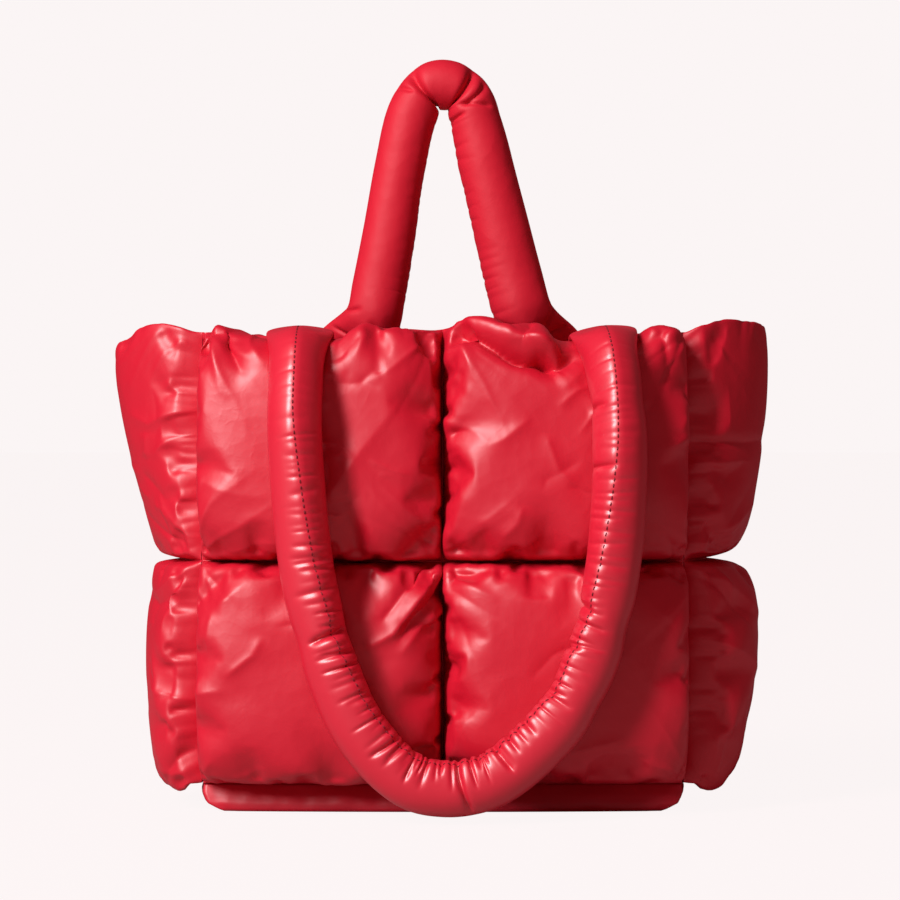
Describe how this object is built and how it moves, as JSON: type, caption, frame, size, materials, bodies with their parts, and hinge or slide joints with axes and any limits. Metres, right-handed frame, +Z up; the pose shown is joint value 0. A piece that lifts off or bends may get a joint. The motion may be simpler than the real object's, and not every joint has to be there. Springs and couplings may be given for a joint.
{
  "type": "puffer tote bag",
  "caption": "Open-topped tote bag of stuffed quilted pillows on a padded base, with two padded tubular handles, one hanging down the front and one standing.",
  "frame": {"origin": "middle of the flat underside of the base pad", "axes": "+Z up, the front with the hanging handle faces -Y, +X to the right seen from the front"},
  "size_m": [0.4416, 0.2577, 0.5065],
  "materials": {
    "shell": "smooth satin-gloss coated shell fabric, softly wrinkled",
    "handle": "the same coated fabric, gathered along the handle's seam",
    "stitching": "dark red polyester sewing thread"
  },
  "bodies": {
    "root": {"front_upper_left_pillow": "shell", "front_upper_right_pillow": "shell", "front_lower_left_pillow": "shell", "front_lower_right_pillow": "shell", "rear_upper_left_pillow": "shell", "rear_upper_right_pillow": "shell", "rear_lower_left_pillow": "shell", "rear_lower_right_pillow": "shell", "left_upper_pillow": "shell", "left_lower_pillow": "shell", "right_upper_pillow": "shell", "right_lower_pillow": "shell", "base_pad": "shell", "front_handle": "handle", "rear_handle": "handle"}
  },
  "joints": []
}
